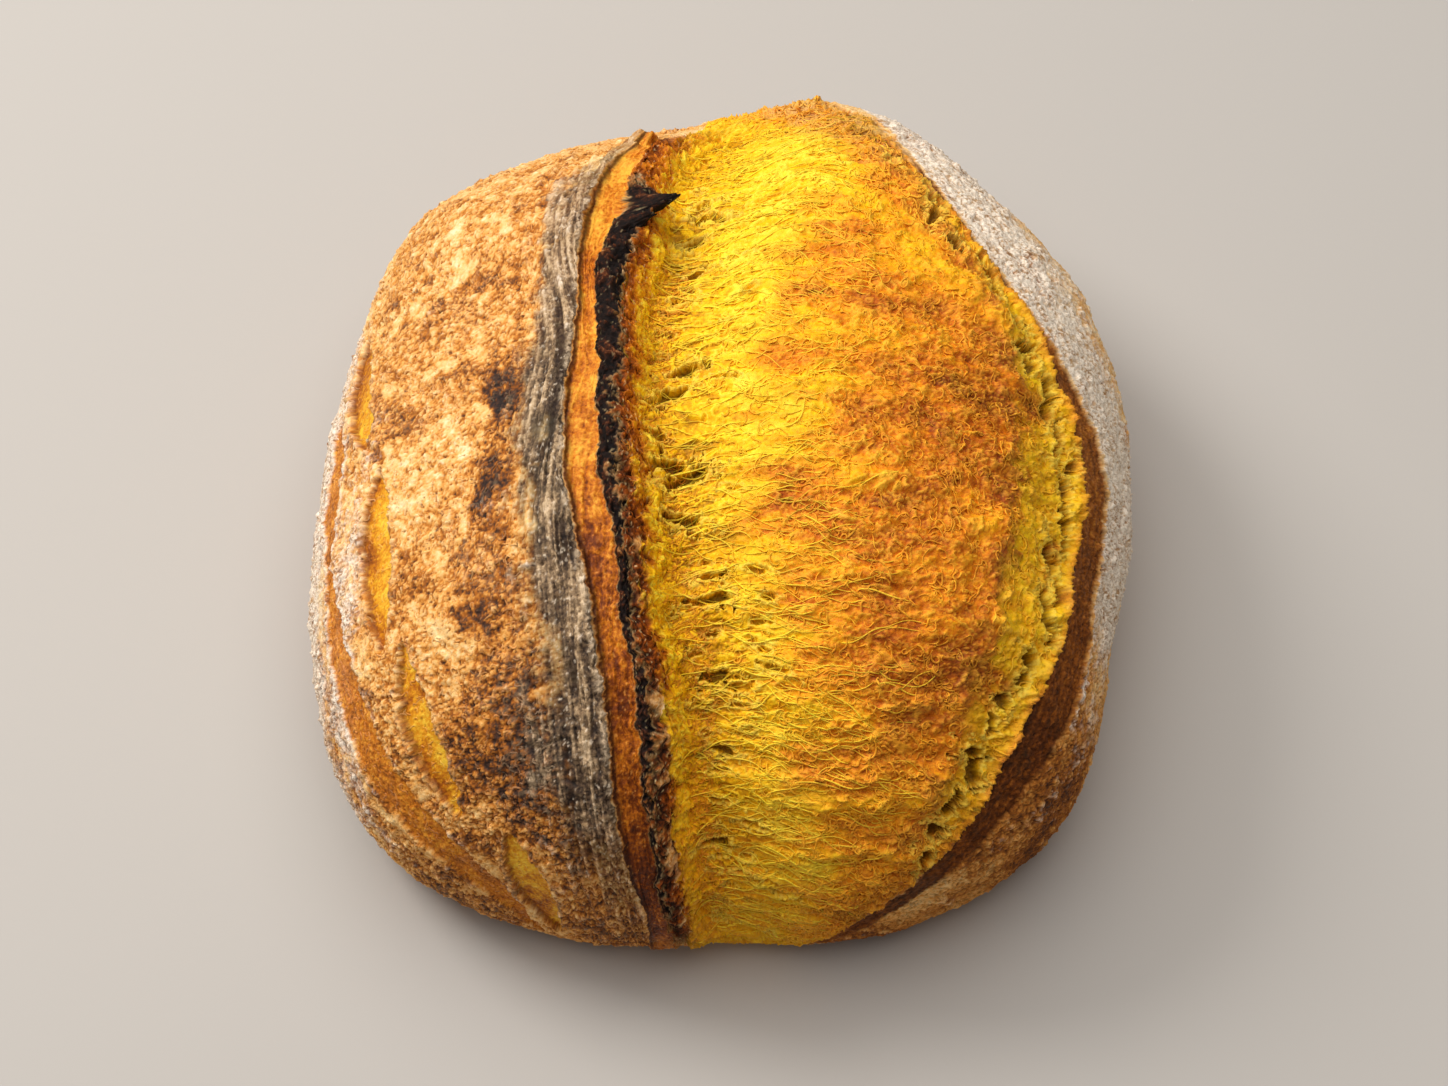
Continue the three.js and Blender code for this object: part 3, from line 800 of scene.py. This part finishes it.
def wander(rng, start_p, start_q, heading, length, bend, wave):
    """Fibres as walks on the map: one row of points each, bending steadily with a wave laid over."""
    step = np.linspace(0, 1, FIBRE_POINTS)[None, :]
    phase = rng.uniform(0, 2 * math.pi, (len(start_p), 1))
    waves = wave[:, None] * np.sin(2 * math.pi * step + phase)
    heading = heading[:, None] + bend[:, None] * length[:, None] * step + waves
    stride = length[:, None] / (FIBRE_POINTS - 1)
    p = start_p[:, None] + np.cumsum(np.cos(heading) * stride, 1)
    q = start_q[:, None] + np.cumsum(np.sin(heading) * stride, 1)
    return p, q


def fibre_tubes(p, q, out, radius):
    """Thin tapering tubes along the walks, as rings of vertices."""
    normal = body_normal(p, q)
    centre = body_point(p, q) + normal * out[..., None]
    tangent = np.gradient(centre, axis=1)
    tangent /= np.linalg.norm(tangent, axis=-1, keepdims=True) + 1e-9
    side = np.cross(tangent, normal)
    side /= np.linalg.norm(side, axis=-1, keepdims=True) + 1e-9
    taper = 0.3 + 0.7 * np.sin(np.linspace(0.06, 0.94, FIBRE_POINTS) * math.pi) ** 0.6
    turn = np.arange(FIBRE_SIDES) * 2 * math.pi / FIBRE_SIDES
    thick = (radius[:, None] * taper[None, :])[..., None, None]
    ring = np.cos(turn)[:, None] * side[..., None, :] + np.sin(turn)[:, None] * normal[..., None, :]
    return centre[..., None, :] + thick * ring


# name: (count, span of q, (length, bend, wave, radius), (mask it stays inside, share of own colour, colour))
FIBRES = {
    "strand": (1300, (-150, 84), ((4, 15), (0, 0.05), (0.1, 0.5), (0.1, 0.23)),
               ("burst", 0.5, (255, 230, 66))),
    "curl": (3200, (-165, 100), ((1.6, 6.0), (0.25, 1.2), (0.2, 0.9), (0.13, 0.3)),
             ("burst", 0.36, (255, 188, 52))),
    "web": (1500, (-140, 30), ((1.2, 4.2), (0.1, 0.9), (0.2, 0.9), (0.1, 0.24)),
            ("wall", 0.5, (214, 128, 36))),
    "wrinkle": (5500, (-150, 120), ((1.0, 3.0), (0.2, 1.4), (0.2, 1.2), (0.2, 0.36)),
                ("crust", 0.08, (255, 226, 180))),
}


def fibre_starts(rng, name, q):
    """Where fibres of one kind start on the map, a p for each q, and which way they head."""
    count, share = len(q), rng.uniform(0, 1, len(q))
    ear, edge = line_at(EAR, q), line_at(BURST_RIGHT, q)
    if name == "strand":
        heading = rng.normal(0, 0.26, count) + math.pi * (rng.random(count) < 0.5)
        return ear + 17 + 42 * share**1.3, heading
    if name == "web":
        return ear + 13 + 9 * share, rng.normal(0, 0.9, count)
    heading = rng.uniform(0, 2 * math.pi, count)
    if name == "curl":
        return edge - 1.5 - (edge - line_at(TOAST_LINE, q) + 10) * share, heading
    return ear - 12 - 92 * share, heading


def fibre_sets(rng):
    """Each kind of fibre: its starts, headings, lengths, bends, waves and radii, and then its looks."""
    for name, (count, span, (length, bend, wave, radius), looks) in FIBRES.items():
        q = rng.uniform(*span, count)
        p, heading = fibre_starts(rng, name, q)
        bend = rng.choice([-1, 1], count) * rng.uniform(*bend, count)
        length, wave, radius = (rng.uniform(*limits, count) for limits in (length, wave, radius))
        yield p, q, heading, length, bend, wave, radius, *looks


def draw_fibres(skin):
    """The crumb's loose fibres and the crust's wrinkles: vertices, and a colour for each."""
    rng = np.random.default_rng(SEED + 1)
    finder = Finder(skin.place, skin.q)
    vertices, tints = [], []
    heights, plain = skin.out.ravel(), skin.coats[0].reshape(-1, 3)
    upper_crust = skin.crust * (skin.share < WRINKLED_SHARE)
    masks = {"burst": skin.burst, "crust": upper_crust, "wall": skin.t > WALL_FROM}
    arch = np.sin(np.linspace(0, math.pi, FIBRE_POINTS))[None, :]
    for p, q, heading, length, bend, wave, radius, inside, blend, colour in fibre_sets(rng):
        p, q = wander(rng, p, q, heading, length, bend, wave)
        found = finder.at(p, q)
        kept = masks[inside].ravel()[found].min(1) > WELL_INSIDE
        p, q, found, radius = p[kept], q[kept], found[kept], radius[kept]
        smooth = heights[found]
        for _ in range(3):
            smooth[:, 1:-1] = (smooth[:, :-2] + 2 * smooth[:, 1:-1] + smooth[:, 2:]) / 4
        lift = -0.45 * radius[:, None] if inside == "crust" else 0.14 * arch + 0.05 * radius[:, None]
        shade = rng.uniform(0.82, 1.16, (len(p), 1, 1))
        own = plain[found]
        if inside == "crust":
            own = np.repeat(own.mean(1, keepdims=True), FIBRE_POINTS, 1)
        tint = np.minimum((1 - blend) * own * shade + blend * linear(*colour) * shade, 1.0)
        vertices.append(fibre_tubes(p, q, smooth + lift, radius).reshape(-1, 3))
        tints.append(np.repeat(tint[:, :, None, :], FIBRE_SIDES, 2).reshape(-1, 3))
    return np.concatenate(vertices), np.concatenate(tints)


# -------- mesh
BASE_RINGS = 8
# darker and lighter copies of the base's and the fibres' colours: painted shade for the grain's hollows,
# painted highlight for its tops
HOLLOW_SHADE, TOP_HIGHLIGHT = 0.6, 1.3
BASE_GLOSS, FIBRE_GLOSS = 0.8, 0.55


def perimeter(index):
    """The vertices round the grid's edge, anticlockwise from above."""
    return np.concatenate([index[0, :-1], index[:-1, -1], index[-1, :0:-1], index[:0:-1, 0]])


def fibre_faces(count, start):
    """Quads along the tubes and the caps at their ends, as corners, for count tubes from vertex start."""
    index = start + np.arange(count * FIBRE_CORNERS).reshape(count, FIBRE_POINTS, FIBRE_SIDES)
    near, far = index[:, :-1], index[:, 1:]
    quads = np.stack([near, far, np.roll(far, -1, 2), np.roll(near, -1, 2)], -1)
    caps = np.concatenate([index[:, 0], index[:, -1, ::-1]])
    return quads.reshape(-1, 4), caps


def build_mesh(points, coats, gloss, fibres, fibre_tints):
    """The skin, its flat base and the fibres as one mesh, with a bake map of its own."""
    rows, columns = points.shape[:2]
    index = np.arange(rows * columns).reshape(rows, columns)
    quads = np.stack([index[:-1, :-1], index[:-1, 1:], index[1:, 1:], index[1:, :-1]], -1).reshape(-1, 4)
    edge = perimeter(index)
    flat = points.reshape(-1, 3)
    rim = flat[edge]
    middle = np.array([rim[:, 0].mean(), rim[:, 1].mean(), 0.0])
    rings, ring_index = [], [edge]
    start = len(flat)
    for ring in range(1, BASE_RINGS):
        rings.append(middle + (rim - middle) * (1 - ring / BASE_RINGS))
        ring_index.append(start + np.arange(len(edge)))
        start += len(edge)
    fibre_start = start + 1
    places = np.concatenate([flat, *rings, middle[None, :], fibres])
    tube_quads, caps = fibre_faces(len(fibres) // FIBRE_CORNERS, fibre_start)
    base = []
    for outer, inner in zip(ring_index[:-1], ring_index[1:]):
        base.append(np.stack([np.roll(outer, -1), outer, inner, np.roll(inner, -1)], -1))
    last = ring_index[-1]
    fan = np.stack([np.roll(last, -1), last, np.full(len(last), start)], -1)
    faces = [quads, *base, tube_quads, fan, caps]
    corners = np.concatenate([face.ravel() for face in faces])
    sizes = np.concatenate([np.full(len(face), face.shape[1]) for face in faces])
    starts = np.concatenate([[0], np.cumsum(sizes)[:-1]])
    mesh = bpy.data.meshes.new("loaf")
    mesh.vertices.add(len(places))
    mesh.vertices.foreach_set("co", (places * MM).astype(np.float32).ravel())
    mesh.loops.add(len(corners))
    mesh.loops.foreach_set("vertex_index", corners.astype(np.int32))
    mesh.polygons.add(len(starts))
    mesh.polygons.foreach_set("loop_start", starts.astype(np.int32))
    mesh.polygons.foreach_set("use_smooth", np.ones(len(starts), bool))
    mesh.update(calc_edges=True)
    on_base = fibre_start - rows * columns
    # each colour in three coats: plain, a darker one as painted shade for the grain's hollows, a lighter one
    # as painted highlight for its tops
    for name, coat, shade in zip(("plain", "shaded_hollows", "lit_tops"), coats, (1.0, HOLLOW_SHADE, TOP_HIGHLIGHT)):
        under = np.tile(linear(*BASE) * shade, (on_base, 1))
        tint = np.concatenate([coat.reshape(-1, 3), under, fibre_tints * (0.5 + 0.5 * shade)])
        tint = np.concatenate([np.clip(tint, 0, 1), np.ones((len(tint), 1))], 1)
        layer = mesh.attributes.new(name, "FLOAT_COLOR", "POINT")
        layer.data.foreach_set("color", tint.astype(np.float32).ravel())
    layer = mesh.attributes.new("gloss", "FLOAT", "POINT")
    rough = np.concatenate([gloss.ravel(), np.full(on_base, BASE_GLOSS), np.full(len(fibres), FIBRE_GLOSS)])
    layer.data.foreach_set("value", rough.astype(np.float32))
    lay_out_bake_map(mesh, places, corners, rows, columns, fibre_start)
    return mesh


# the bake map's parts, as shares of its square
SKIN_SHARE, BAKE_MARGIN = 0.89, 0.004
FIBRES_FROM, FIBRES_TALL = 0.13, 0.86
FIBRE_CELLS_ACROSS = 24


def lay_out_bake_map(mesh, places, corners, rows, columns, fibre_start):
    """The grid fills most of the square, the base a small square beside it, each fibre a cell above that."""
    skin_count = rows * columns
    side_from, side_wide = SKIN_SHARE + 2 * BAKE_MARGIN, 1 - SKIN_SHARE - 4 * BAKE_MARGIN
    row, column = np.divmod(np.arange(skin_count), columns)
    uv = np.empty((len(places), 2))
    uv[:skin_count, 0] = BAKE_MARGIN + (SKIN_SHARE - BAKE_MARGIN) * column / (columns - 1)
    uv[:skin_count, 1] = BAKE_MARGIN + (1 - 2 * BAKE_MARGIN) * row / (rows - 1)
    low, high = places[:skin_count].min(0), places[:skin_count].max(0)
    under = side_from + side_wide * (places[:, :2] - low[:2]) / (high[:2] - low[:2])
    under[:, 1] -= SKIN_SHARE
    fibre, inside = np.divmod(np.arange(len(places) - fibre_start), FIBRE_CORNERS)
    along, round_it = np.divmod(inside, FIBRE_SIDES)
    cell_row, cell_column = np.divmod(fibre, FIBRE_CELLS_ACROSS)
    wide, tall = side_wide / FIBRE_CELLS_ACROSS, FIBRES_TALL / (fibre.max() // FIBRE_CELLS_ACROSS + 1)
    uv[fibre_start:, 0] = side_from + wide * (cell_column + 0.1 + 0.8 * along / FIBRE_POINTS)
    uv[fibre_start:, 1] = FIBRES_FROM + tall * (cell_row + 0.1 + 0.8 * round_it / FIBRE_SIDES)
    on_base = (corners >= skin_count) & (corners < fibre_start)
    past_skin = 4 * (rows - 1) * (columns - 1)
    on_base[past_skin:] |= corners[past_skin:] < fibre_start
    loops = np.where(on_base[:, None], under[corners], uv[corners])
    layer = mesh.uv_layers.new(name="OFBake")
    layer.data.foreach_set("uv", loops.astype(np.float32).ravel())


# -------- materials
GRAIN_LENGTH, GRAIN_DETAIL, GRAIN_ROUGHNESS = 0.85, 4, 0.68
BUMP_STRENGTH, BUMP_HEIGHT = 0.8, 0.4
CRUST_SHINE, SWEEP_SHINE = 0.16, 0.2
SWEEP_ROUGHNESS = 0.85


def new_material(name, **inputs):
    """A material, its nodes and its surface, with the surface's inputs set."""
    material = bpy.data.materials.new(name)
    material.use_nodes = True
    surface = material.node_tree.nodes["Principled BSDF"]
    for label, value in inputs.items():
        surface.inputs[label.replace("_", " ")].default_value = value
    return material, material.node_tree, surface


def mix_by_grain(tree, under, over, grain, low, high):
    """The over colour where the grain runs from low to high."""
    reach = add_node(tree, "ShaderNodeMapRange", {"From Min": low, "From Max": high, "Value": grain})
    inputs = {"Factor": reach.outputs[0], "A": under, "B": over}
    return add_node(tree, "ShaderNodeMix", inputs, data_type="RGBA").outputs["Result"]


def crust_material():
    """The coats from the vertices (plain, painted shade, painted highlight), mixed by a grain finer than they
    can hold.
    """
    material, tree, surface = new_material("crust", Specular_IOR_Level=CRUST_SHINE)
    coats = {}
    for name in ("plain", "shaded_hollows", "lit_tops", "gloss"):
        coats[name] = add_node(tree, "ShaderNodeAttribute", attribute_name=name)
    place = add_node(tree, "ShaderNodeTexCoord").outputs["Object"]
    inputs = {"Vector": place, "Scale": 1.0 / (GRAIN_LENGTH * MM), "Detail": GRAIN_DETAIL,
              "Roughness": GRAIN_ROUGHNESS}
    grain = add_node(tree, "ShaderNodeTexNoise", inputs).outputs[0]
    colour = coats["plain"].outputs["Color"]
    # the painted shade coat where the grain is low, the painted highlight coat where it is high
    for name, low, high in (("shaded_hollows", 0.48, 0.34), ("lit_tops", 0.52, 0.66)):
        colour = mix_by_grain(tree, colour, coats[name].outputs["Color"], grain, low, high)
    inputs = {"Strength": BUMP_STRENGTH, "Distance": BUMP_HEIGHT * MM, "Height": grain}
    bump = add_node(tree, "ShaderNodeBump", inputs)
    tree.links.new(colour, surface.inputs["Base Color"])
    tree.links.new(coats["gloss"].outputs["Fac"], surface.inputs["Roughness"])
    tree.links.new(bump.outputs[0], surface.inputs["Normal"])
    return material


# -------- stage, in mm from the middle of the loaf's base
CAMERA_ELEVATION = 60.0
CAMERA_DISTANCE = 800.0
CAMERA_LENS = 78.0
CAMERA_TARGET = (0.0, -10.0, 36.0)
CAMERA_CLIP = (0.05, 20.0)  # in metres
LIGHT_TARGET = (0, 0, 50)
# name, place, width, watts, colour
LIGHTS = [
    ("key", (-850, 450, 1000), 600, 11.0, (1.0, 0.98, 0.965)),
    ("overhead", (-150, 180, 1450), 1900, 20.0, (1.0, 0.97, 0.95)),
]
ROOM_LIGHT, ROOM_COLOUR = 0.22, (1.0, 0.97, 0.95, 1)
SWEEP_WIDTH, SWEEP_DROP = 8000, 0.2


def add_camera():
    camera = bpy.data.objects.new("camera", bpy.data.cameras.new("camera"))
    camera.data.lens = CAMERA_LENS
    elevation = math.radians(CAMERA_ELEVATION)
    back = Vector((0, -math.cos(elevation), math.sin(elevation)))
    camera.location = (Vector(CAMERA_TARGET) + back * CAMERA_DISTANCE) * MM
    camera.rotation_euler = (-back).to_track_quat("-Z", "Y").to_euler()
    camera.data.clip_start, camera.data.clip_end = CAMERA_CLIP
    bpy.context.scene.collection.objects.link(camera)
    bpy.context.scene.camera = camera


def add_light(name, place, width, watts, colour):
    """A round area light over the loaf, aimed at it."""
    lamp = bpy.data.lights.new(name, "AREA")
    lamp.shape = "DISK"
    lamp.size = width * MM
    lamp.energy = watts
    lamp.color = colour
    light = bpy.data.objects.new(name, lamp)
    light.location = Vector(place) * MM
    light.rotation_euler = (Vector(LIGHT_TARGET) - Vector(place)).to_track_quat("-Z", "Y").to_euler()
    bpy.context.scene.collection.objects.link(light)


def add_stage():
    """The pale sweep under the loaf, the lights and the room."""
    bpy.ops.mesh.primitive_plane_add(size=SWEEP_WIDTH * MM, location=(0, 0, -SWEEP_DROP * MM))
    floor = bpy.context.object
    floor.name = "floor"
    material, _, surface = new_material("sweep", Roughness=SWEEP_ROUGHNESS, Specular_IOR_Level=SWEEP_SHINE)
    surface.inputs["Base Color"].default_value = (*linear(*SWEEP), 1)
    floor.data.materials.append(material)
    for light in LIGHTS:
        add_light(*light)
    world = bpy.data.worlds.new("room")
    world.use_nodes = True
    background = world.node_tree.nodes["Background"]
    background.inputs["Color"].default_value = ROOM_COLOUR
    background.inputs["Strength"].default_value = ROOM_LIGHT
    bpy.context.scene.world = world
    bpy.context.scene.view_settings.view_transform = "Standard"


def add_loaf():
    skin = Loaf()
    fibres, fibre_tints = draw_fibres(skin)
    mesh = build_mesh(skin.positions(), skin.coats, skin.gloss, fibres, fibre_tints)
    mesh.materials.append(crust_material())
    loaf = bpy.data.objects.new("crust_and_crumb", mesh)
    bpy.context.scene.collection.objects.link(loaf)
    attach(loaf, "root")
    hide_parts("loaf")


add_stage()
add_loaf()
add_camera()
